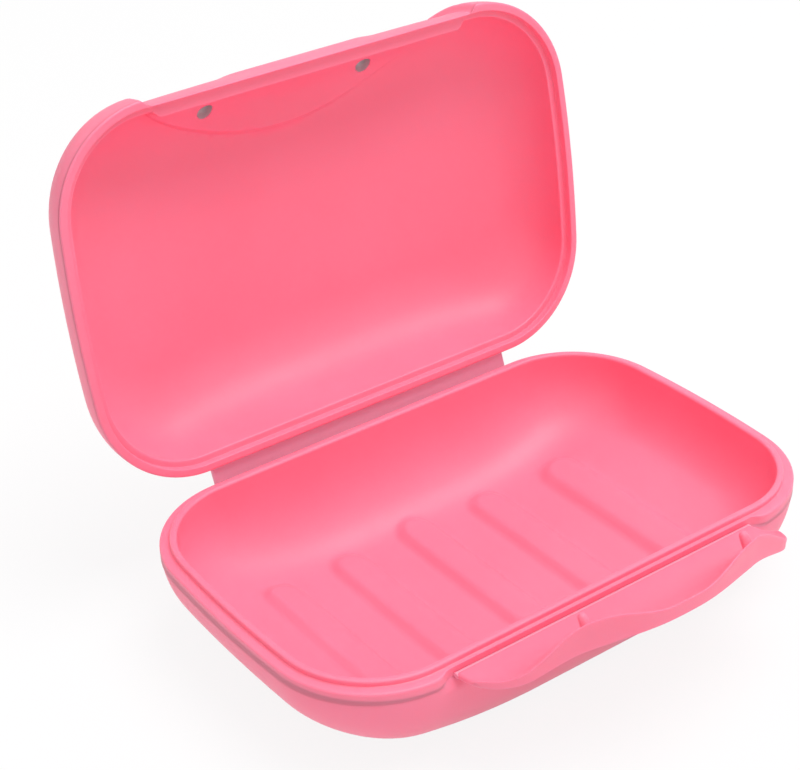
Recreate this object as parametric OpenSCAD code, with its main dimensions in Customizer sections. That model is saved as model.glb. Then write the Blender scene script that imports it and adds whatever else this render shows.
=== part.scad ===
// Travel soap box moulded in one piece: a tray and a domed lid joined by a
// folding strap at the back, and a latch flap on a thin web at the front whose
// two pegs snap into a recessed panel of the lid.
// Drawn open, with the flat foot of the tray on z = 0 and the latch towards -Y.

/* [Outline] */
// Half the width at the rim
half_w = 56; // [50:0.5:62]
// Half the depth at the rim, front to back
half_d = 35.4; // [32:0.1:40]
// Corner radius of the rim
corner_r = 19.9; // [16:0.1:24]
// Radius of the bulged short sides
side_r = 250; // [200:5:400]

/* [Base tray] */
// Depth of the tray below its ledge, before the foot is cut
tray_depth = 20.9; // [18:0.1:24]
// Slice taken off the underside to make the flat foot
foot_cut = 0.5; // [0.3:0.05:0.8]
// Half length of the level middle of the underside
foot_half = 12; // [6:1:20]
// Share of the depth by which the underside rises at the short ends
tray_end_rise = 0.52; // [0.3:0.01:0.6]
// How far the short walls draw in
tray_draw_x = 7; // [5:0.5:10]
// How far the long walls draw in
tray_draw_y = 14.2; // [11:0.1:17]
// Roundness of the wall section, where 2 is an ellipse
tray_power = 2.4; // [2.2:0.1:3.2]
// Plan corner radius left at the underside and at the lid's top
tray_floor_r = 9; // [3:0.5:12]
// Thickness of the tray floor
tray_floor = 2.3; // [1.8:0.1:2.8]
// Width of the ledge that carries the lid
ledge_w = 1.9; // [1.6:0.1:2.4]
// Thickness of the raised lip
lip_w = 1.3; // [1:0.1:1.8]
// Height of the raised lip
lip_h = 1.1; // [0.8:0.1:1.6]

/* [Drain ribs] */
// Number of ribs
rib_count = 5; // [3:2:5]
// Spacing of the ribs
rib_pitch = 16.5; // [14:0.5:17]
// Width of a rib
rib_w = 7.6; // [5:0.2:9]
// Length of a rib
rib_len = 44; // [36:1:48]
// Height of a rib above the middle of the floor
rib_h = 1.4; // [0.8:0.1:2]

/* [Lid] */
// Depth of the lid above its rim
lid_depth = 18.6; // [16:0.1:22]
// Share of the depth by which the top falls at the short ends
lid_end_fall = 0.42; // [0.2:0.01:0.5]
// How far the short walls draw in
lid_draw_x = 8.5; // [5:0.5:10]
// How far the long walls draw in
lid_draw_y = 16; // [12:0.1:18]
// Roundness of the wall section, where 2 is an ellipse
lid_power = 2.4; // [2.2:0.1:3]
// Thickness of the lid's top
lid_top = 1.5; // [1.2:0.1:2]
// Gap between the tray's lip and the lid's rim
lip_gap = 0.34; // [0.33:0.01:0.4]
// Gap between the two rims with the lid closed
rim_gap = 0.12; // [0.08:0.01:0.2]
// Thickness of the lid's wall above its rebate
lid_wall = 2.9; // [2.5:0.1:3.2]

/* [Rear hinge strap] */
// Angle from closed to the pose drawn, for the lid on the tray
lid_open = 98.8; // [60:0.1:110]
// Part of that angle taken up where the strap leaves the tray
strap_open = 20.3; // [12:0.1:24]
// Width of the strap, left to right
strap_w = 69; // [50:1:70]
// Thickness of the strap
strap_t = 0.8; // [0.6:0.05:1]
// Height of the strap between its two fold lines
strap_len = 4.9; // [4.5:0.1:5.4]
// Gap between the strap and the walls that it joins
strap_gap = 0.1; // [0.08:0.01:0.2]

/* [Latch seat] */
// Depth of the recess in the lid's front
seat_step = 1.35; // [1:0.05:1.6]
// Thickness of the recessed panel
seat_t = 1.5; // [1.2:0.1:1.8]
// Plan radius of the recess's curved upper edge
seat_r = 47; // [44:0.5:50]
// How far the recess reaches back from the front of the rim
seat_reach = 16.4; // [15:0.1:16.8]
// Gap round the recessed panel
seat_gap = 0.05; // [0.03:0.01:0.08]

/* [Latch flap] */
// Angle from closed to the pose drawn
latch_open = 73; // [50:1:90]
// Half width of the flap
flap_half = 33; // [30:0.5:33.5]
// Thickness of the flap
flap_t = 1.2; // [1:0.05:1.4]
// Height of the flap's crest above its fold line, in the middle
flap_mid_h = 20.2; // [19:0.1:21]
// Height of the crest above the fold line, at the flap's ends
flap_end_h = 11; // [10:0.1:13]
// Radius of the flap's end corners
flap_corner_r = 6; // [4:0.5:8]
// How far the crest leans back over the lid, beside the thumb scoop
flap_lean = 7.5; // [6:0.1:7.6]
// How far the crest leans back in the thumb scoop
scoop_lean = 5; // [3:0.1:5.6]
// How far the crest leans back at the flap's ends
end_lean = 1.1; // [0.6:0.1:1.2]
// Half width of the thumb scoop in the middle
scoop_half = 9; // [6:0.5:12]
// Width of the skirt that turns forward from the crest, beside the scoop
skirt_w = 5; // [4:0.1:5.5]
// Width of the skirt in the scoop
scoop_skirt_w = 3.2; // [2.6:0.1:4]
// Depth of the fold line below the ledge
latch_drop = 1.3; // [1.1:0.1:1.6]
// Radius of the bead along the flap's root
bead_r = 0.5; // [0.4:0.05:0.6]
// Gap between the flap and the web that carries it
web_gap = 0.1; // [0.06:0.01:0.15]
// Thickness of the web
web_t = 0.5; // [0.4:0.05:0.6]
// Depth of the notch in the tray's front, from the rim back
notch_in = 1.2; // [1:0.05:1.4]
// Height of the notch
notch_h = 2.4; // [2:0.1:3]
// Gap between each end of the flap and the notch
notch_gap = 0.6; // [0.4:0.05:0.8]
// Length over which the notch runs out at each end
notch_run = 3; // [2:0.5:4]

/* [Latch pegs] */
// Distance between the two pegs
peg_spacing = 35.2; // [30:0.2:40]
// Radius of a peg
peg_r = 1; // [0.9:0.05:1.15]
// Distance of a peg from the fold line
peg_reach = 16.1; // [15.4:0.1:16.6]
// How far a peg stands out of the flap
peg_len = 2.9; // [2.6:0.1:3.4]
// Gap between a peg and its hole, on the radius
peg_gap = 0.4; // [0.35:0.05:0.5]

/* [Hidden] */
$fn = 64;

// Points in half a short side, a corner and a long side of a rim outline
side_steps = 3;
corner_steps = 8;
long_steps = 14;
half_count = 2 * side_steps + 2 * corner_steps + long_steps;
ring_count = 2 * half_count;
// Rings from the rim of a shell to its middle
level_steps = 11;
// Steps across the latch flap, up its face and round its crest
flap_across = 44;
flap_points = [9, 6];
// Power of the curve of the flap's face: it follows the lid's recess
flap_bow = 2.6;
// Thickness left at the skirt's free edge
skirt_edge = 0.4;
// Share of the skirt's width by which it drops below the crest
skirt_fall = 0.24;

rim_z = tray_depth - foot_cut;
lip_out = ledge_w;
lip_in = ledge_w + lip_w;
rebate_in = ledge_w - lip_gap;
rebate_h = lip_h + lip_gap;
// Fold lines of the strap, measured from the rim plane and the rear of the rim
strap_y = half_d + strap_gap + strap_t / 2;
strap_half = strap_len / 2;
lid_fold = lid_open - strap_open;
// Fold line of the latch flap
latch_y = -half_d + 0.1;
latch_z = rim_z - latch_drop;
notch_half = flap_half + notch_gap;
seat_y = -half_d + seat_reach - seat_r;
// A cut passes this far beyond the face it opens
over = 1;
body_pink = [1.0, 0.44, 0.56];
rib_pink = [1.0, 0.5, 0.62];
strap_pink = [1.0, 0.68, 0.78];

// Rim outline: short sides are arcs of side_r, the long sides are straight,
// and each corner is an arc tangent to both.
function corner_x(a, b, r) = a - side_r + sqrt(pow(side_r - r, 2) - pow(b - r, 2));
function side_angle(a, b, r) = atan2(b - r, corner_x(a, b, r) - (a - side_r));
function half_ring(a, b, r) =
    let (cx = corner_x(a, b, r), t = side_angle(a, b, r))
    concat(
        [for (i = [0:side_steps])
            let (u = t * i / side_steps) [a - side_r + side_r * cos(u), side_r * sin(u)]],
        [for (i = [1:corner_steps])
            let (u = t + (90 - t) * i / corner_steps) [cx + r * cos(u), b - r + r * sin(u)]],
        [for (i = [1:long_steps]) [cx - 2 * cx * i / long_steps, b]],
        [for (i = [1:corner_steps])
            let (u = 90 - (90 - t) * i / corner_steps) [-cx - r * cos(u), b - r + r * sin(u)]],
        [for (i = [1:side_steps])
            let (u = t * (1 - i / side_steps))
            [side_r - a - side_r * cos(u), side_r * sin(u)]]
    );
function ring(a, b, r) =
    let (h = half_ring(a, b, r))
    concat(h, [for (i = [half_count - 1:-1:1]) [h[i][0], -h[i][1]]]);

// Wall section from the rim, at 0 degrees, to the level middle, at 90:
// how far it has drawn in and how deep it is, both as shares.
function drawn(t, power) = 1 - pow(cos(t), 2 / power);
function sunk(t, power) = pow(sin(t), 2 / power);
// Full depth at a place along the width, less towards the short ends
function local_depth(x, depth, rise) =
    depth * (1 - rise * pow(max(0, abs(x) - foot_half) / (half_w - foot_half), 2));

// Rings of one dome surface. inset is its distance inside the rim outline,
// less is what its wall takes off the depth, and start is its first height.
function dome_rings(inset, less, depth, rise, draw_x, draw_y, power, end_r, start) = [
    for (k = [0:level_steps])
        let (
            t = 90 * k / level_steps,
            q = drawn(t, power),
            r = corner_r - inset,
            pts = ring(half_w - inset - draw_x * q, half_d - inset - draw_y * q,
                r + (end_r - r) * q)
        )
        [for (p = pts)
            [p[0], p[1], start + (local_depth(p[0], depth, rise) - less - start) * sunk(t, power)]]
];
function flat_ring(inset, z) =
    [for (p = ring(half_w - inset, half_d - inset, corner_r - inset)) [p[0], p[1], z]];

// Closed skin through a list of rings: bands between them, and a strip of
// faces from front to back across the first and the last ring.
module skin(rings) {
    last = (len(rings) - 1) * ring_count;
    opposite = function (i) (ring_count - i) % ring_count;
    bands = [for (k = [0:len(rings) - 2], i = [0:ring_count - 1])
        let (a = k * ring_count + i, b = k * ring_count + (i + 1) % ring_count)
        each [[a, b, a + ring_count], [b, b + ring_count, a + ring_count]]];
    strip = function (base, flip) [for (i = [0:half_count - 1])
        let (
            quad = [base + i, base + i + 1, base + opposite(i + 1), base + opposite(i)],
            tris = i == 0 ? [[quad[0], quad[1], quad[2]]]
                : i == half_count - 1 ? [[quad[0], quad[1], quad[3]]]
                : [[quad[0], quad[1], quad[2]], [quad[0], quad[2], quad[3]]]
        )
        each [for (f = tris) flip ? [f[0], f[2], f[1]] : f]];
    polyhedron(
        points = [for (r = rings, p = r) p],
        faces = concat(bands, strip(0, true), strip(last, false)),
        convexity = 6
    );
}
// A shell opens at its rim: its outer rings run from the middle to the rim,
// and its inner rings run back.
module shell(outer, inner) {
    skin(concat([for (k = [len(outer) - 1:-1:0]) outer[k]], inner));
}

function tray_outer() = dome_rings(0, 0, tray_depth, tray_end_rise,
    tray_draw_x, tray_draw_y, tray_power, tray_floor_r, 0);
function tray_inner() = dome_rings(lip_in, tray_floor, tray_depth, tray_end_rise,
    tray_draw_x - 1, tray_draw_y - 1, tray_power, tray_floor_r, 0);
function lid_outer() = dome_rings(0, 0, lid_depth, lid_end_fall,
    lid_draw_x, lid_draw_y, lid_power, tray_floor_r, 0);
function lid_inner() = dome_rings(lid_wall, lid_top, lid_depth, lid_end_fall,
    lid_draw_x - 1, lid_draw_y - 1, lid_power, tray_floor_r, rebate_h);

// Puts what is drawn closed, over the rim plane, where the open lid is
module lid_pose() {
    translate([0, strap_y, rim_z - strap_half])
        rotate([-strap_open, 0, 0])
            translate([0, 0, strap_len])
                rotate([-lid_fold, 0, 0])
                    translate([0, -strap_y, -strap_half]) children();
}
// Turns what is drawn closed, at its true height, to where the flap is open
module latch_pose() {
    translate([0, latch_y, latch_z]) rotate([latch_open, 0, 0])
        translate([0, -latch_y, -latch_z]) children();
}

module tray_shell() {
    translate([0, 0, rim_z]) mirror([0, 0, 1]) shell(tray_outer(), tray_inner());
}

module base_tray() {
    color(body_pink) difference() {
        tray_shell();
        translate([-half_w, -half_d, -foot_cut - over])
            cube([2 * half_w, 2 * half_d, foot_cut + over]);
        translate([0, 0, rim_z - notch_h]) linear_extrude(notch_h + over)
            polygon([
                [-notch_half - 2 * notch_run, -half_d - notch_in],
                [-notch_half, -half_d + notch_in],
                [notch_half, -half_d + notch_in],
                [notch_half + 2 * notch_run, -half_d - notch_in]
            ]);
    }
}

module outline_2d(inset) {
    polygon(ring(half_w - inset, half_d - inset, corner_r - inset));
}

module rim_lip() {
    color(body_pink) translate([0, 0, rim_z]) linear_extrude(lip_h) difference() {
        outline_2d(lip_out);
        outline_2d(lip_in);
    }
}

module rib_outline() {
    run = rib_len / 2 - rib_w / 2;
    for (y = [-run, run]) translate([0, y]) circle(d = rib_w);
    translate([-rib_w / 2, -run]) square([rib_w, 2 * run]);
}

module drain_ribs() {
    color(rib_pink) difference() {
        for (i = [0:rib_count - 1]) {
            x = (i - (rib_count - 1) / 2) * rib_pitch;
            floor_z = rim_z - local_depth(x, tray_depth, tray_end_rise) + tray_floor;
            translate([x, 0, floor_z - tray_floor / 2])
                linear_extrude(tray_floor / 2 + rib_h) rib_outline();
        }
        tray_shell();
    }
}

module hinge_strap() {
    color(strap_pink) translate([-strap_w / 2, strap_y, rim_z - strap_half])
        rotate([-strap_open, 0, 0]) {
            rotate([0, 90, 0]) cylinder(h = strap_w, d = strap_t);
            translate([0, 0, strap_len]) rotate([0, 90, 0]) cylinder(h = strap_w, d = strap_t);
            translate([0, -strap_t / 2, 0]) cube([strap_w, strap_t, strap_len]);
        }
}

// Plan region of the recess, grown by a gap
module seat_region(grow) {
    translate([0, seat_y]) circle(r = seat_r + grow, $fn = 128);
}

module lid_shell() {
    color(body_pink) lid_pose() translate([0, 0, rim_gap]) difference() {
        shell(lid_outer(), concat([flat_ring(rebate_in, 0), flat_ring(rebate_in, rebate_h)],
            lid_inner()));
        translate([0, 0, -over]) linear_extrude(lid_depth + 2 * over) seat_region(seat_gap);
    }
}

// Closed panel between two grids of points, each a list of columns
module panel(near, far) {
    nx = len(near) - 1;
    nv = len(near[0]) - 1;
    per = nv + 1;
    back = (nx + 1) * per;
    at = function (i, j) i * per + j;
    walk = concat(
        [for (i = [0:nx]) at(i, 0)],
        [for (j = [1:nv]) at(nx, j)],
        [for (i = [nx - 1:-1:0]) at(i, nv)],
        [for (j = [nv - 1:-1:1]) at(0, j)]
    );
    polyhedron(
        points = concat([for (c = near, p = c) p], [for (c = far, p = c) p]),
        faces = concat(
            [for (i = [0:nx - 1], j = [0:nv - 1]) each [
                [at(i, j), at(i, j + 1), at(i + 1, j)],
                [at(i + 1, j), at(i, j + 1), at(i + 1, j + 1)],
                [back + at(i, j), back + at(i + 1, j), back + at(i, j + 1)],
                [back + at(i + 1, j), back + at(i + 1, j + 1), back + at(i, j + 1)]
            ]],
            [for (k = [0:len(walk) - 1])
                let (a = walk[k], b = walk[(k + 1) % len(walk)])
                each [[a, b, back + a], [b, back + b, back + a]]]
        ),
        convexity = 4
    );
}

// Solid under a dome set in from the lid's outside by a distance
module lid_dome(inset) {
    draw = inset / 3;
    rings = dome_rings(inset, inset, lid_depth, lid_end_fall,
        lid_draw_x - draw, lid_draw_y - draw, lid_power, tray_floor_r, 0);
    skin([for (k = [level_steps:-1:0]) rings[k]]);
}

module latch_seat() {
    color(body_pink) lid_pose() difference() {
        translate([0, 0, rim_gap]) difference() {
            intersection() {
                lid_dome(seat_step);
                linear_extrude(lid_depth) seat_region(0);
            }
            lid_dome(seat_step + seat_t);
            translate([0, 0, -over]) linear_extrude(over + rebate_h) outline_2d(rebate_in);
        }
        translate([0, 0, -rim_z]) peg_rods(peg_r + peg_gap, -over, peg_len + 3 * over);
    }
}

module latch_web() {
    from = latch_y + flap_t / 2 + web_gap;
    color(strap_pink) translate([-flap_half, from, latch_z - web_t / 2])
        cube([2 * flap_half, notch_in - half_d - from, web_t]);
}

function smooth(u) = let (v = min(1, max(0, u))) v * v * (3 - 2 * v);
function mix(a, b, share) = a + (b - a) * share;
function unit(v) = v / norm(v);

// Height of the crest over the fold line: an arch with rounded end corners
function crest_height(x) =
    let (
        u = abs(x) / flap_half,
        over_corner = max(0, abs(x) - (flap_half - flap_corner_r)),
        dip = flap_corner_r - sqrt(max(0, pow(flap_corner_r, 2) - pow(over_corner, 2)))
    )
    flap_mid_h - (flap_mid_h - flap_end_h) * u * u - dip;
// A measure of the crest at a place: one value in the thumb scoop, one
// beside it and one at the flap's ends
function along_crest(x, scoop, beside, end) =
    mix(scoop, beside, smooth((abs(x) - scoop_half / 3) / (scoop_half + 4)))
        - (beside - end) * smooth((abs(x) - 2 * scoop_half) / (flap_half - 2 * scoop_half));
function crest_lean(x) = along_crest(x, scoop_lean, flap_lean, end_lean);
function skirt_width(x) = along_crest(x, scoop_skirt_w, skirt_w, 1.4);

// Section of the flap at a place, in steps of [back, up] from the fold
// line. w runs from 0 at the fold to 1 at the crest
function face_point(x, w) =
    [mix(flap_t / 2, 0, w) + crest_lean(x) * pow(w, flap_bow), crest_height(x) * w];
function face_way(x, w) =
    unit([flap_bow * crest_lean(x) * pow(w, flap_bow - 1) - flap_t / 2, crest_height(x)]);
function skirt_way() = unit([-1, -skirt_fall]);
function bend_point(a, b, c, d, u) =
    let (v = 1 - u) v * v * v * a + 3 * v * v * u * b + 3 * v * u * u * c + u * u * u * d;
// The face towards the lid, with the rounded crest and the skirt
function near_face(x) =
    let (
        top = face_point(x, 1),
        width = skirt_width(x),
        end = top + skirt_way() * width,
        past = top + face_way(x, 1) * 0.4 * width,
        before = end - skirt_way() * 0.55 * width
    )
    concat(
        [for (j = [0:flap_points[0]]) face_point(x, j / flap_points[0])],
        [for (j = [1:flap_points[1]]) bend_point(top, past, before, end, j / flap_points[1])]
    );
// The face away from the lid
function far_face(x) =
    let (
        last = 0.8,
        rows = flap_points[0],
        way = skirt_way(),
        edge = face_point(x, 1) + way * skirt_width(x) + skirt_edge * [-way[1], way[0]],
        far = [
            for (j = [0:rows])
                let (w = last * j / rows, way = face_way(x, w))
                face_point(x, w) + flap_t * [-way[1], way[0]]
        ]
    )
    concat(far, [for (j = [1:flap_points[1]]) mix(far[rows], edge, j / flap_points[1])]);

module flap_body() {
    column = function (i) flap_half * sin(90 * (2 * i / flap_across - 1));
    lay = function (x, face) [for (p = face) [x, latch_y + p[0], latch_z + p[1]]];
    panel(
        [for (i = [0:flap_across]) lay(column(i), far_face(column(i)))],
        [for (i = [0:flap_across]) lay(column(i), near_face(column(i)))]
    );
}

module latch_flap() {
    color(body_pink) latch_pose() union() {
        flap_body();
        translate([-flap_half, latch_y, latch_z]) rotate([0, 90, 0])
            cylinder(h = 2 * flap_half, r = bead_r);
    }
}

// Puts things at both pegs: z runs along a peg, out of the flap's face,
// with the flap and the lid closed
module at_pegs() {
    foot = face_point(peg_spacing / 2, peg_reach / crest_height(peg_spacing / 2));
    tilt = atan2(foot[0], foot[1]);
    for (x = [-1, 1])
        translate([x * peg_spacing / 2, latch_y + foot[0], latch_z + foot[1]])
            rotate([-90 - tilt, 0, 0]) children();
}
module peg_rods(r, from, to) {
    at_pegs() translate([0, 0, from]) cylinder(h = to - from, r = r);
}

module latch_pegs() {
    color(body_pink) latch_pose() difference() {
        union() {
            peg_rods(peg_r, -flap_t / 2, peg_len - peg_r);
            at_pegs() translate([0, 0, peg_len - peg_r]) sphere(r = peg_r);
        }
        flap_body();
    }
}

base_tray();
rim_lip();
drain_ribs();
hinge_strap();
lid_shell();
latch_seat();
latch_web();
latch_flap();
latch_pegs();
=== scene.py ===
"""Open travel soap box of soft pink plastic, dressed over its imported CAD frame.

All shapes are worked out in millimetres with the box shut or open as the CAD
has it, and come out in metres.
"""

import math

import bmesh
import bpy
from mathutils import Matrix, Vector


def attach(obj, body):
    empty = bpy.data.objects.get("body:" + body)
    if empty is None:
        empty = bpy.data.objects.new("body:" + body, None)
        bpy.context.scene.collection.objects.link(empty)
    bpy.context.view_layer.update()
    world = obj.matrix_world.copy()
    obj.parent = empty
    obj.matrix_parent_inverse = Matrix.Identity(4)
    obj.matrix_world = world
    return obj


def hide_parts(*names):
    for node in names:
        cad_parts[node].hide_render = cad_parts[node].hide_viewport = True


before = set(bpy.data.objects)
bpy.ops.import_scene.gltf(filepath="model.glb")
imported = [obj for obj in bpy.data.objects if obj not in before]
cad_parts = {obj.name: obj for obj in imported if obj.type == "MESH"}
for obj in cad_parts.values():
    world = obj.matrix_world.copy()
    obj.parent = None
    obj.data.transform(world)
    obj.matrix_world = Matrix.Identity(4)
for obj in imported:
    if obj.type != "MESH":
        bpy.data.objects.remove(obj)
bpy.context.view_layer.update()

MM = 0.001

# Rim outline
HALF_W = 56.0
HALF_D = 35.4
CORNER_R = 19.9
SIDE_R = 250.0
FOOT_HALF = 12.0
FLOOR_R = 9.0

# Tray
TRAY_DEPTH = 20.9
RIM_Z = 20.4
TRAY_RISE = 0.52
TRAY_DRAW = (7.0, 14.2)
TRAY_POWER = 2.4
TRAY_FLOOR = 2.3
LEDGE_W = 1.9
LIP_W = 1.3
LIP_H = 1.1

# Lid
LID_DEPTH = 18.6
LID_FALL = 0.42
LID_DRAW = (8.5, 16.0)
LID_POWER = 2.4
LID_TOP = 1.5
LID_WALL = 2.9
REBATE_IN = LEDGE_W - 0.34
REBATE_H = 1.44
RIM_GAP = 0.12

# Folds
LID_OPEN = 98.8
STRAP_OPEN = 20.3
STRAP_LEN = 4.9
STRAP_Y = 35.9
STRAP_W = 69.0
LATCH_OPEN = 73.0
LATCH_Y = -35.3
LATCH_Z = 19.1

# Latch seat in the lid's front
SEAT_R = 47.0
SEAT_Y = -66.0
SEAT_STEP = 1.35
SEAT_SOFT = 1.1
# No part of the seat lies behind this
SEAT_BACK = -12.0
PEG_X = 17.6
PEG_REACH = 16.1
PEG_HOLE_R = 1.6
# The holes lean further than the pegs, part of the way to square with the wall
HOLE_TURN = 14.0
HOLE_MIDDLE = 1.3
HOLE_CUT = 9.0
# A second shallow lens in the seat
LENS_HALF = 17.5
LENS_Z = 9.5
LENS_UP = 7.5
LENS_RISE = 0.3
LENS_EDGE_Y = -22.0

# Latch flap
FLAP_HALF = 33.0
FLAP_T = 1.2
FLAP_MID = 20.2
FLAP_END = 11.0
FLAP_CORNER = 6.0
FLAP_BOW = 2.6
SCOOP_HALF = 9.0
# In the thumb scoop, beside it and at the flap's ends
CREST_LEAN = (5.0, 7.5, 1.1)
SKIRT_W = (2.6, 5.0, 1.2)
SKIRT_FALL = 0.24
SKIRT_EDGE = 0.4
FLAP_ACROSS = 150
FACE_ROWS = 30
BEND_ROWS = 22
NOTCH_HALF = FLAP_HALF + 0.6
NOTCH_IN = 1.2
NOTCH_H = 2.4
NOTCH_RUN = 3.0

# Ribs
RIB_PITCH = 16.5
RIB_W = 7.6
RIB_H = 1.4
RIB_ENDS = (24.0, 22.5, 20.0)

SIDE_STEPS = 10
CORNER_STEPS = 24
LONG_STEPS = 130
HALF_RING = 2 * SIDE_STEPS + 2 * CORNER_STEPS + LONG_STEPS
RING = 2 * HALF_RING
WALL_STEPS = 26


# Shader maths


class Value:
    """A shader socket that Python's operators work on."""

    def __init__(self, finish, socket):
        self.finish = finish
        self.socket = socket

    def _math(self, operation, other, swapped=False):
        pair = (other, self) if swapped else (self, other)
        node = self.finish.node(
            "ShaderNodeMath", {"operation": operation}, {0: pair[0], 1: pair[1]}
        )
        return Value(self.finish, node.outputs[0])

    def __add__(self, other):
        return self._math("ADD", other)

    __radd__ = __add__

    def __mul__(self, other):
        return self._math("MULTIPLY", other)

    __rmul__ = __mul__

    def __sub__(self, other):
        return self._math("SUBTRACT", other)

    def __rsub__(self, other):
        return self._math("SUBTRACT", other, swapped=True)


class Finish:
    """A material whose nodes are added one call at a time."""

    def __init__(self, name):
        self.material = bpy.data.materials.new(name)
        self.material.use_nodes = True
        self.tree = self.material.node_tree
        self.tree.nodes.clear()
        self.out = self.node("ShaderNodeOutputMaterial")

    def node(self, kind, settings=None, sockets=None):
        made = self.tree.nodes.new(kind)
        for key, value in (settings or {}).items():
            if key == "stops":
                ramp = made.color_ramp.elements
                for spot, (place, colour) in zip(ramp, value):
                    spot.position = place
                    spot.color = colour
            else:
                setattr(made, key, value)
        for key, value in (sockets or {}).items():
            if isinstance(value, Value):
                self.tree.links.new(value.socket, made.inputs[key])
            elif isinstance(value, bpy.types.NodeSocket):
                self.tree.links.new(value, made.inputs[key])
            else:
                made.inputs[key].default_value = value
        return made

    def noise(self, scale, detail=3.0, roughness=0.5):
        where = self.node("ShaderNodeTexCoord").outputs["Object"]
        made = self.node(
            "ShaderNodeTexNoise",
            sockets={"Vector": where, "Scale": scale, "Detail": detail, "Roughness": roughness},
        )
        return Value(self, made.outputs[0])

    def finish(self, shader):
        self.tree.links.new(shader.outputs[0], self.out.inputs["Surface"])
        return self.material


def moulded_pink(name, deep, pale, rough, glow, through=0.0):
    """Satin moulded plastic: a faint cloudiness in the colour and a fine matt grain."""
    f = Finish(name)
    cloud = f.noise(38.0, 3.0)
    grain = f.noise(2600.0, 2.0)
    swirl = f.noise(210.0, 4.0, 0.6)
    colour = f.node(
        "ShaderNodeMix",
        {"data_type": "RGBA"},
        {"Factor": cloud, 6: deep, 7: pale},
    )
    bump = f.node(
        "ShaderNodeBump",
        sockets={"Strength": 0.09, "Distance": 0.00012, "Height": grain + swirl * 0.35},
    )
    shader = f.node(
        "ShaderNodeBsdfPrincipled",
        sockets={
            "Base Color": colour.outputs[2],
            "Roughness": swirl * 0.1 + (rough - 0.05),
            "IOR": 1.49,
            "Subsurface Weight": glow,
            "Subsurface Radius": (1.0, 0.45, 0.5),
            "Subsurface Scale": 0.0016,
            "Normal": bump.outputs[0],
        },
    )
    if through:
        thin = f.node(
            "ShaderNodeBsdfTranslucent",
            sockets={"Color": colour.outputs[2], "Normal": bump.outputs[0]},
        )
        shader = f.node(
            "ShaderNodeMixShader",
            sockets={"Fac": through, 1: shader.outputs[0], 2: thin.outputs[0]},
        )
    return f.finish(shader)


BODY = moulded_pink("moulded_pink", (0.98, 0.195, 0.3, 1), (1.0, 0.235, 0.355, 1), 0.46, 0.4)
# Paler pink for the thin strap and fold: painted glow, standing in for light coming through the
# thin plastic from behind
THIN_GLOW_PINK = moulded_pink("thin_fold_painted_glow", (0.98, 0.5, 0.66, 1), (1.0, 0.58, 0.72, 1), 0.4, 0.3, 0.45)
# The cut wall of the peg holes, painted near white as the light that comes through from behind
HOLE_WALL_LIGHT = moulded_pink("peg_hole_wall_painted_light", (1.0, 0.82, 0.88, 1), (1.0, 0.9, 0.94, 1), 0.4, 0.0, 0.6)


# Shapes


def smooth(u):
    u = min(1.0, max(0.0, u))
    return u * u * (3 - 2 * u)


def half_outline(a, b, r):
    """Points of half a rim outline, from the middle of the right side round the back."""
    cx = a - SIDE_R + math.sqrt((SIDE_R - r) ** 2 - (b - r) ** 2)
    t = math.atan2(b - r, cx - (a - SIDE_R))
    side = [
        (a - SIDE_R + SIDE_R * math.cos(t * i / SIDE_STEPS), SIDE_R * math.sin(t * i / SIDE_STEPS))
        for i in range(SIDE_STEPS + 1)
    ]
    turn = [t + (math.pi / 2 - t) * i / CORNER_STEPS for i in range(1, CORNER_STEPS + 1)]
    corner = [(cx + r * math.cos(u), b - r + r * math.sin(u)) for u in turn]
    right = side + corner
    long_side = [(cx - 2 * cx * i / LONG_STEPS, b) for i in range(1, LONG_STEPS)]
    return right + long_side + [(-x, y) for x, y in reversed(right)]


def outline(inset, draw=(0.0, 0.0), floor_r=None, share=0.0):
    """The whole rim outline set in by an inset, and drawn in further by a share of draw."""
    r = CORNER_R - inset
    if floor_r is not None:
        r += (floor_r - r) * share
    half = half_outline(HALF_W - inset - draw[0] * share, HALF_D - inset - draw[1] * share, r)
    return half + [(x, -y) for x, y in reversed(half[1:-1])]


def local_depth(x, depth, rise):
    return depth * (1 - rise * (max(0.0, abs(x) - FOOT_HALF) / (HALF_W - FOOT_HALF)) ** 2)


def wall_ring(step, inset, less, depth, rise, draw, power, start):
    """One ring of a dome's wall, from the rim at step 0 to its level middle."""
    t = math.pi / 2 * step / WALL_STEPS
    share = 1 - max(0.0, math.cos(t)) ** (2 / power)
    sunk = math.sin(t) ** (2 / power)
    return [
        (x, y, start + (local_depth(x, depth, rise) - less - start) * sunk)
        for x, y in outline(inset, draw, FLOOR_R, share)
    ]


def flat_ring(inset, z):
    return [(x, y, z) for x, y in outline(inset)]


def shell_mesh(rings, depth, rise, less):
    """A skin through rings of points, closed at both ends by grids that keep the dome's depth."""
    bm = bmesh.new()
    station = bm.verts.layers.int.new("station")
    bmesh.ops.create_circle(bm, cap_ends=False, radius=1, segments=RING)
    bm.verts.ensure_lookup_table()
    for i, v in enumerate(bm.verts):
        v[station] = i
        v.co = rings[0][i]
    first = bm.edges[:]
    edges = first
    for ring in rings[1:]:
        grown = bmesh.ops.extrude_edge_only(bm, edges=edges)["geom"]
        edges = [g for g in grown if isinstance(g, bmesh.types.BMEdge)]
        new = set(g for g in grown if isinstance(g, bmesh.types.BMVert))
        edges = [e for e in edges if e.verts[0] in new and e.verts[1] in new]
        for v in new:
            v.co = ring[v[station]]
    corner = SIDE_STEPS + CORNER_STEPS
    for loop, thinner in ((first, 0.0), (edges, less)):
        rows = [e for e in loop if on_long_side(e, station, corner)]
        border = set(v for e in loop for v in e.verts)
        made = bmesh.ops.grid_fill(bm, edges=rows, use_interp_simple=True)["faces"]
        for v in set(v for f in made for v in f.verts) - border:
            v.co.z = local_depth(v.co.x, depth, rise) - thinner
    return bm


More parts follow.
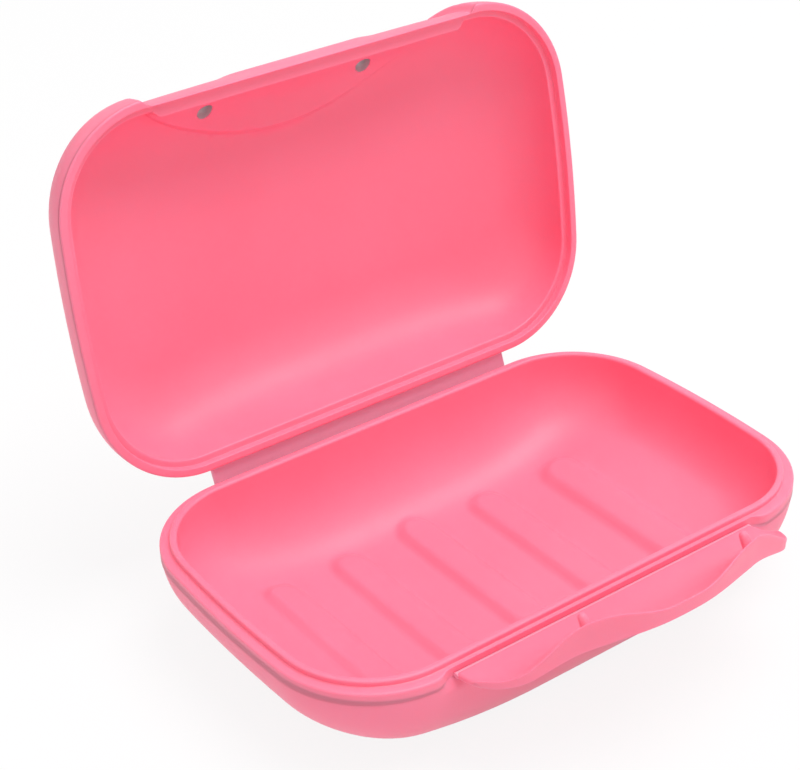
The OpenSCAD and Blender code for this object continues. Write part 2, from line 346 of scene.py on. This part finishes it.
def on_long_side(edge, station, corner):
    ends = sorted(v[station] for v in edge.verts)
    back = corner <= ends[0] and ends[1] <= HALF_RING - corner
    front = HALF_RING + corner <= ends[0] and ends[1] <= RING - corner
    return back or front


def to_object(bm, name, material, place=Matrix.Identity(4), sharp=55):
    bmesh.ops.transform(bm, matrix=Matrix.Scale(MM, 4) @ place, verts=bm.verts)
    mesh = bpy.data.meshes.new(name)
    bm.to_mesh(mesh)
    bm.free()
    mesh.shade_smooth()
    mesh.set_sharp_from_angle(angle=math.radians(sharp))
    obj = bpy.data.objects.new(name, mesh)
    bpy.context.scene.collection.objects.link(obj)
    mesh.materials.append(material)
    return obj


def turn_about(y, z, degrees):
    return (
        Matrix.Translation((0, y, z))
        @ Matrix.Rotation(math.radians(degrees), 4, "X")
        @ Matrix.Translation((0, -y, -z))
    )


LID_PLACE = (
    turn_about(STRAP_Y, RIM_Z - STRAP_LEN / 2, -STRAP_OPEN)
    @ turn_about(STRAP_Y, RIM_Z + STRAP_LEN / 2, STRAP_OPEN - LID_OPEN)
    @ Matrix.Translation((0, 0, RIM_Z + RIM_GAP))
)
FLAP_PLACE = turn_about(LATCH_Y, LATCH_Z, LATCH_OPEN)


# Tray


def section_arc(corner, radius, start, end, steps=5):
    """Points round a corner of a rim's section, as (inset, depth), between two turns in degrees."""
    cx = corner[0] + (radius if max(start, end) > 90 else -radius)
    cy = corner[1] + radius
    turns = [math.radians(start + (end - start) * i / steps) for i in range(steps + 1)]
    return [(cx + radius * math.cos(u), cy - radius * math.sin(u)) for u in turns]


def tray_rings():
    lip_in = LEDGE_W + LIP_W
    draw = (TRAY_DRAW[0] - 1, TRAY_DRAW[1] - 1)
    outside = [
        wall_ring(k, 0, 0, TRAY_DEPTH, TRAY_RISE, TRAY_DRAW, TRAY_POWER, 0)
        for k in range(WALL_STEPS, 0, -1)
    ]
    rim = [(0, NOTCH_H - 0.03), (0, 1.8), (0, 1.2), (0, 0.7)]
    rim += section_arc((0, 0), 0.4, 180, 90)
    rim += [(0.9, 0), (1.4, 0), (LEDGE_W - 0.2, 0), (LEDGE_W, -0.12), (LEDGE_W, -0.5)]
    rim += section_arc((LEDGE_W, -LIP_H), 0.35, 180, 90)
    rim += section_arc((lip_in, -LIP_H), 0.5, 90, 0)
    rim += [(lip_in, -0.3), (lip_in, 0.0)]
    inside = [
        wall_ring(k, lip_in, TRAY_FLOOR, TRAY_DEPTH, TRAY_RISE, draw, TRAY_POWER, 0)
        for k in [0.4] + list(range(1, WALL_STEPS + 1))
    ]
    return outside + [flat_ring(s, d) for s, d in rim] + inside


def rib_height(x, y):
    """How far the ribs stand above the floor at a place."""
    best = 0.0
    for i in range(-2, 3):
        run = RIB_ENDS[abs(i)] - RIB_W / 2
        off = math.hypot(x - i * RIB_PITCH, max(0.0, abs(y) - run))
        best = max(best, smooth((RIB_W / 2 + 0.8 - off) / 2.4))
    return best * RIB_H


def tray():
    bm = shell_mesh(tray_rings(), TRAY_DEPTH, TRAY_RISE, TRAY_FLOOR)
    for v in bm.verts:
        x, y, d = v.co
        if 6 < d < local_depth(x, TRAY_DEPTH, TRAY_RISE) - TRAY_FLOOR + 0.6:
            d -= rib_height(x, y)
        # The notch in the rim's front, where the latch web starts
        share = smooth((NOTCH_HALF + NOTCH_RUN - abs(x)) / NOTCH_RUN)
        if y < NOTCH_IN - HALF_D and d < NOTCH_H:
            y += (NOTCH_IN - HALF_D - y) * share
        v.co = (x, y, max(0.0, RIM_Z - d))
    bmesh.ops.recalc_face_normals(bm, faces=bm.faces)
    return to_object(bm, "tray_moulding", BODY)


tray_piece = tray()
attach(tray_piece, "tray")
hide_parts("base_tray", "rim_lip", "drain_ribs")


# Lid


def lid_rings():
    draw = (LID_DRAW[0] - 1, LID_DRAW[1] - 1)
    outside = [
        wall_ring(k, 0, 0, LID_DEPTH, LID_FALL, LID_DRAW, LID_POWER, 0)
        for k in list(range(WALL_STEPS, 0, -1)) + [0.5, 0.25]
    ]
    rim = [(0, 0.7)] + section_arc((0, 0), 0.4, 180, 90)
    rim += [(0.8, 0), (1.2, 0)] + section_arc((REBATE_IN, 0), 0.15, 90, 0, 3)
    rim += [(REBATE_IN, 0.7), (REBATE_IN, 1.2), (REBATE_IN + 0.12, REBATE_H)]
    rim += [(2.1, REBATE_H)] + section_arc((LID_WALL, REBATE_H), 0.3, 90, 0)
    inside = [
        wall_ring(k, LID_WALL, LID_TOP, LID_DEPTH, LID_FALL, draw, LID_POWER, REBATE_H)
        for k in [0.35, 0.6] + list(range(1, WALL_STEPS + 1))
    ]
    return outside + [flat_ring(s, d) for s, d in rim] + inside


def seat_off(x, y):
    """How far a place in plan is inside the curved edge of the latch seat."""
    return SEAT_R - math.hypot(x, y - SEAT_Y)


def refine(bm, near, cuts):
    edges = [e for e in bm.edges if all(near(v.co) for v in e.verts)]
    bmesh.ops.subdivide_edges(bm, edges=edges, cuts=cuts, use_grid_fill=True)


def dome_normal(y, z):
    """Outward direction of the lid's front wall at a place."""
    q = min(0.98, max(0.0, (HALF_D + y) / LID_DRAW[1]))
    across = -((1 - q) ** (LID_POWER - 1)) / LID_DRAW[1]
    up = (max(0.0, z) / LID_DEPTH) ** (LID_POWER - 1) / LID_DEPTH
    return Vector((0, across, up)).normalized()


def lid():
    bm = shell_mesh(lid_rings(), LID_DEPTH, LID_FALL, LID_TOP)
    refine(bm, lambda p: p.y < SEAT_BACK and abs(seat_off(p.x, p.y)) < 1.3, 3)
    for v in bm.verts:
        x, y, z = v.co
        if y > SEAT_BACK:
            continue
        inset = HALF_D + y
        share = smooth(seat_off(x, y) / SEAT_SOFT + 0.5)
        if z < REBATE_H - 0.01 and inset < LID_WALL - 0.05 and abs(x) < 38:
            # The foot of the seat thins towards the rebate
            v.co.y += SEAT_STEP * share * max(0.0, 1 - inset / REBATE_IN)
            continue
        normal = dome_normal(y, z)
        round_lens = 1 - (x / LENS_HALF) ** 2 - ((z - LENS_Z) / LENS_UP) ** 2
        lens = smooth(round_lens * 2.5) * (y < LENS_EDGE_Y)
        v.co -= normal * (SEAT_STEP * share - LENS_RISE * lens)
    bmesh.ops.recalc_face_normals(bm, faces=bm.faces)
    piece = to_object(bm, "lid_moulding", BODY)
    drill_peg_holes(piece)
    piece.data.transform(Matrix.Scale(MM, 4) @ LID_PLACE @ Matrix.Scale(1 / MM, 4))
    return piece


def drill_peg_holes(piece):
    """Cuts both peg holes while the lid lies shut on the rim plane."""
    bm = bmesh.new()
    for side in (-1, 1):
        made = bmesh.ops.create_cone(
            bm, cap_ends=True, segments=48, radius1=PEG_HOLE_R, radius2=PEG_HOLE_R, depth=HOLE_CUT
        )
        bmesh.ops.transform(
            bm,
            matrix=Matrix.Translation((0, 0, -RIM_Z - RIM_GAP))
            @ peg_place(side)
            @ Matrix.Translation((0, 0, HOLE_MIDDLE))
            @ Matrix.Rotation(math.radians(-HOLE_TURN), 4, "X"),
            verts=made["verts"],
        )
    # The cutter's near-white material, painted light, goes onto the hole walls
    cutter = to_object(bm, "peg_hole_cutter", HOLE_WALL_LIGHT)
    cut = piece.modifiers.new("peg_holes", "BOOLEAN")
    cut.object = cutter
    cut.solver = "EXACT"
    cut.material_mode = "TRANSFER"
    bpy.context.view_layer.update()
    ready = piece.evaluated_get(bpy.context.evaluated_depsgraph_get())
    mesh = bpy.data.meshes.new_from_object(ready)
    piece.modifiers.clear()
    piece.data = mesh
    bpy.data.objects.remove(cutter)


# Latch flap


def crest_height(x):
    past = max(0.0, abs(x) - (FLAP_HALF - FLAP_CORNER))
    dip = FLAP_CORNER - math.sqrt(max(0.0, FLAP_CORNER**2 - past**2))
    return FLAP_MID - (FLAP_MID - FLAP_END) * (x / FLAP_HALF) ** 2 - dip


def along_crest(x, sizes):
    """A measure of the crest at a place, from its sizes in the scoop, beside it and at the ends."""
    scoop, beside, end = sizes
    size = scoop + (beside - scoop) * smooth((abs(x) - SCOOP_HALF / 3) / (SCOOP_HALF + 4))
    return size - (beside - end) * smooth((abs(x) - 2 * SCOOP_HALF) / (FLAP_HALF - 2 * SCOOP_HALF))


def face_point(x, w):
    """A place on the flap's inner face, as (back, up) from its fold at w = 0 to its crest at 1."""
    back = FLAP_T / 2 * (1 - w) + along_crest(x, CREST_LEAN) * w**FLAP_BOW
    return Vector((back, crest_height(x) * w))


def face_way(x, w):
    lean = FLAP_BOW * along_crest(x, CREST_LEAN) * w ** (FLAP_BOW - 1)
    return Vector((lean - FLAP_T / 2, crest_height(x))).normalized()


def bend_point(a, b, c, d, u):
    v = 1 - u
    return a * v**3 + b * 3 * v * v * u + c * 3 * v * u * u + d * u**3


def flap_section(x):
    """Points of the flap's section: up its inner face, round the skirt and down its outer face."""
    way = Vector((-1, -SKIRT_FALL)).normalized()
    across = Vector((-way.y, way.x))
    top = face_point(x, 1)
    width = along_crest(x, SKIRT_W)
    end = top + way * width
    past = top + face_way(x, 1) * 0.4 * width
    near = [face_point(x, i / FACE_ROWS) for i in range(FACE_ROWS)]
    near += [
        bend_point(top, past, end - way * 0.55 * width, end, i / BEND_ROWS)
        for i in range(BEND_ROWS + 1)
    ]
    far = []
    for i in range(FACE_ROWS + 1):
        w = 0.8 * i / FACE_ROWS
        along = face_way(x, w)
        far.append(face_point(x, w) + Vector((-along.y, along.x)) * FLAP_T)
    last, edge = far[-1], end + across * SKIRT_EDGE
    far += [last.lerp(edge, i / BEND_ROWS) for i in range(1, BEND_ROWS + 1)]
    # Both faces draw together towards the flap's ends, which rounds them
    past_end = max(0.0, abs(x) - (FLAP_HALF - FLAP_T / 2)) / (FLAP_T / 2)
    body = max(0.12, math.sqrt(max(0.0, 1 - past_end**2)))
    pairs = [(n, f, (n + f) / 2) for n, f in zip(near, far)]
    near = [middle.lerp(n, body) for n, f, middle in pairs]
    far = [middle.lerp(f, body) for n, f, middle in pairs]
    centre, half = (near[-1] + far[-1]) / 2, (near[-1] - far[-1]) / 2
    turns = [math.pi * i / 6 for i in range(1, 6)]
    tip = [centre + half * math.cos(u) + way * half.length * math.sin(u) for u in turns]
    return near + tip + far[::-1]


def peg_place(side):
    """Where a peg stands on the shut flap, with z along the peg."""
    foot = face_point(PEG_X, PEG_REACH / crest_height(PEG_X))
    tilt = math.atan2(foot.x, foot.y)
    place = Matrix.Translation((side * PEG_X, LATCH_Y + foot.x, LATCH_Z + foot.y))
    return place @ Matrix.Rotation(-math.pi / 2 - tilt, 4, "X")


def flap():
    bm = bmesh.new()
    rows = len(flap_section(0)) - 1
    bmesh.ops.create_grid(bm, x_segments=FLAP_ACROSS, y_segments=rows, size=1)
    row = bm.verts.layers.int.new("row")
    sections = {}
    for v in bm.verts:
        v[row] = round((v.co.y + 1) / 2 * rows)
        x = FLAP_HALF * math.sin(v.co.x * math.pi / 2)
        column = round((v.co.x + 1) / 2 * FLAP_ACROSS)
        if column not in sections:
            sections[column] = flap_section(x)
        back, up = sections[column][v[row]]
        v.co = (x, LATCH_Y + back, LATCH_Z + up)
    fold = [
        e
        for e in bm.edges
        if e.verts[0][row] == e.verts[1][row] and e.verts[0][row] in (0, rows)
    ]
    bmesh.ops.bridge_loops(bm, edges=fold)
    bmesh.ops.holes_fill(bm, edges=[e for e in bm.edges if e.is_boundary], sides=0)
    bmesh.ops.recalc_face_normals(bm, faces=bm.faces)
    return to_object(bm, "latch_flap_moulding", BODY, FLAP_PLACE)


def pegs():
    bm = bmesh.new()
    section = [(0, 2.8), (0.35, 2.73), (0.62, 2.52), (0.78, 2.15), (0.84, 1.6), (0.92, 0.8)]
    section += [(0.96, 0.3), (1.0, 0.0), (1.0, -0.3), (0, -0.3)]
    for side in (-1, 1):
        ring = [bm.verts.new((r, 0, z)) for r, z in section]
        line = [bm.edges.new(pair) for pair in zip(ring, ring[1:])]
        turned = bmesh.ops.spin(
            bm,
            geom=ring + line,
            cent=(0, 0, 0),
            axis=(0, 0, 1),
            angle=math.tau,
            steps=40,
            use_merge=True,
        )
        made = [v for v in bm.verts if not v.tag]
        bmesh.ops.transform(bm, matrix=peg_place(side), verts=made)
        for v in made:
            v.tag = True
    bmesh.ops.remove_doubles(bm, verts=bm.verts, dist=0.001)
    bmesh.ops.recalc_face_normals(bm, faces=bm.faces)
    return to_object(bm, "latch_peg_pair", BODY, FLAP_PLACE, 60)


lid_piece = lid()
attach(lid_piece, "lid")
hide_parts("lid_shell", "latch_seat")

flap_piece = flap()
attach(flap_piece, "latch")
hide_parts("latch_flap")

peg_piece = pegs()
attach(peg_piece, "latch")
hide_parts("latch_pegs")


# Rear strap


def strap():
    """A plate with rounded edges along its length."""
    bm = bmesh.new()
    bmesh.ops.create_cube(bm, size=1)
    bmesh.ops.scale(bm, vec=(STRAP_W, 0.8, STRAP_LEN + 0.8), verts=bm.verts)
    long_edges = [e for e in bm.edges if abs(e.verts[0].co.x - e.verts[1].co.x) > 1]
    bmesh.ops.bevel(
        bm, geom=long_edges, offset=0.38, segments=6, profile=0.5, material=-1, affect="EDGES"
    )
    place = turn_about(STRAP_Y, RIM_Z - STRAP_LEN / 2, -STRAP_OPEN) @ Matrix.Translation(
        (0, STRAP_Y, RIM_Z)
    )
    # The strap's pale colour is painted glow, for light coming through it
    return to_object(bm, "rear_strap", THIN_GLOW_PINK, place)


strap_piece = strap()
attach(strap_piece, "strap")
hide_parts("hinge_strap")

def fold_bead():
    """The soft line of thinned plastic between the tray and the latch flap, in a pale colour that
    paints a glow over the shade of the gap.
    """
    bm = bmesh.new()
    bmesh.ops.create_cone(bm, cap_ends=True, segments=32, radius1=0.45, radius2=0.45, depth=1)
    bmesh.ops.scale(bm, vec=(1.6, 1, 2 * FLAP_HALF), verts=bm.verts)
    lie = Matrix.Rotation(math.pi / 2, 4, "Y")
    turn = Matrix.Rotation(math.pi / 2, 4, "X")
    return to_object(
        bm, "latch_fold_bead", THIN_GLOW_PINK, Matrix.Translation((0, LATCH_Y + 0.35, LATCH_Z)) @ turn @ lie
    )


bead_piece = fold_bead()
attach(bead_piece, "tray")
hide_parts("latch_web")


# Stage


def studio_floor():
    bm = bmesh.new()
    bmesh.ops.create_grid(bm, x_segments=8, y_segments=8, size=1500)
    f = Finish("studio_floor")
    light_path = f.node("ShaderNodeLightPath")
    speck = f.noise(3.0)
    colour = f.node(
        "ShaderNodeMix",
        {"data_type": "RGBA"},
        {"Factor": speck, 6: (0.8, 0.79, 0.8, 1), 7: (0.82, 0.81, 0.82, 1)},
    )
    matt = f.node("ShaderNodeBsdfDiffuse", sockets={"Color": colour.outputs[2]})
    glow = f.node("ShaderNodeEmission", sockets={"Color": (1, 1, 1, 1), "Strength": 1.0})
    seen = f.node(
        "ShaderNodeMixShader",
        sockets={"Fac": 0.88, 1: matt.outputs[0], 2: glow.outputs[0]},
    )
    camera_ray = Value(f, light_path.outputs["Is Camera Ray"])
    glossy_ray = Value(f, light_path.outputs["Is Glossy Ray"])
    shader = f.node(
        "ShaderNodeMixShader",
        sockets={"Fac": camera_ray + glossy_ray, 1: matt.outputs[0], 2: seen.outputs[0]},
    )
    floor = to_object(bm, "studio_floor", f.finish(shader))


studio_floor()

ROOM_LIGHT = 0.69

world = bpy.data.worlds.new("studio")
bpy.context.scene.world = world
world.use_nodes = True
nodes, links = world.node_tree.nodes, world.node_tree.links
nodes.clear()
path = nodes.new("ShaderNodeLightPath")
dim = nodes.new("ShaderNodeBackground")
dim.inputs["Color"].default_value = (1, 0.985, 0.99, 1)
dim.inputs["Strength"].default_value = ROOM_LIGHT
white = nodes.new("ShaderNodeBackground")
white.inputs["Color"].default_value = (1, 1, 1, 1)
mix = nodes.new("ShaderNodeMixShader")
end = nodes.new("ShaderNodeOutputWorld")
links.new(path.outputs["Is Camera Ray"], mix.inputs[0])
links.new(dim.outputs[0], mix.inputs[1])
links.new(white.outputs[0], mix.inputs[2])
links.new(mix.outputs[0], end.inputs[0])


def soft_lamp(name, spot, aim, size, power, colour=(1, 1, 1)):
    lamp = bpy.data.lights.new(name, "AREA")
    lamp.shape = "DISK"
    lamp.size = size
    lamp.energy = power
    lamp.color = colour
    obj = bpy.data.objects.new(name, lamp)
    obj.location = spot
    obj.rotation_euler = (Vector(aim) - Vector(spot)).to_track_quat("-Z", "Y").to_euler()
    bpy.context.scene.collection.objects.link(obj)


soft_lamp("key_lamp", (0.22, -0.2, 1.0), (0, 0.02, 0.02), 0.8, 8.3)

# The photo's viewing angle
CAMERA_LENS = 85.144
CAMERA_SPOT = (-0.1752718, -0.2241913, 0.2151555)
CAMERA_TURN = (59.1385, 1.81815, -36.26504)

camera = bpy.data.cameras.new("photo_camera")
camera.lens = CAMERA_LENS
camera.sensor_width = 36
camera.clip_start = 0.01
camera_object = bpy.data.objects.new("photo_camera", camera)
camera_object.location = CAMERA_SPOT
camera_object.rotation_euler = [math.radians(v) for v in CAMERA_TURN]
bpy.context.scene.collection.objects.link(camera_object)
bpy.context.scene.camera = camera_object
bpy.context.scene.view_settings.view_transform = "Standard"
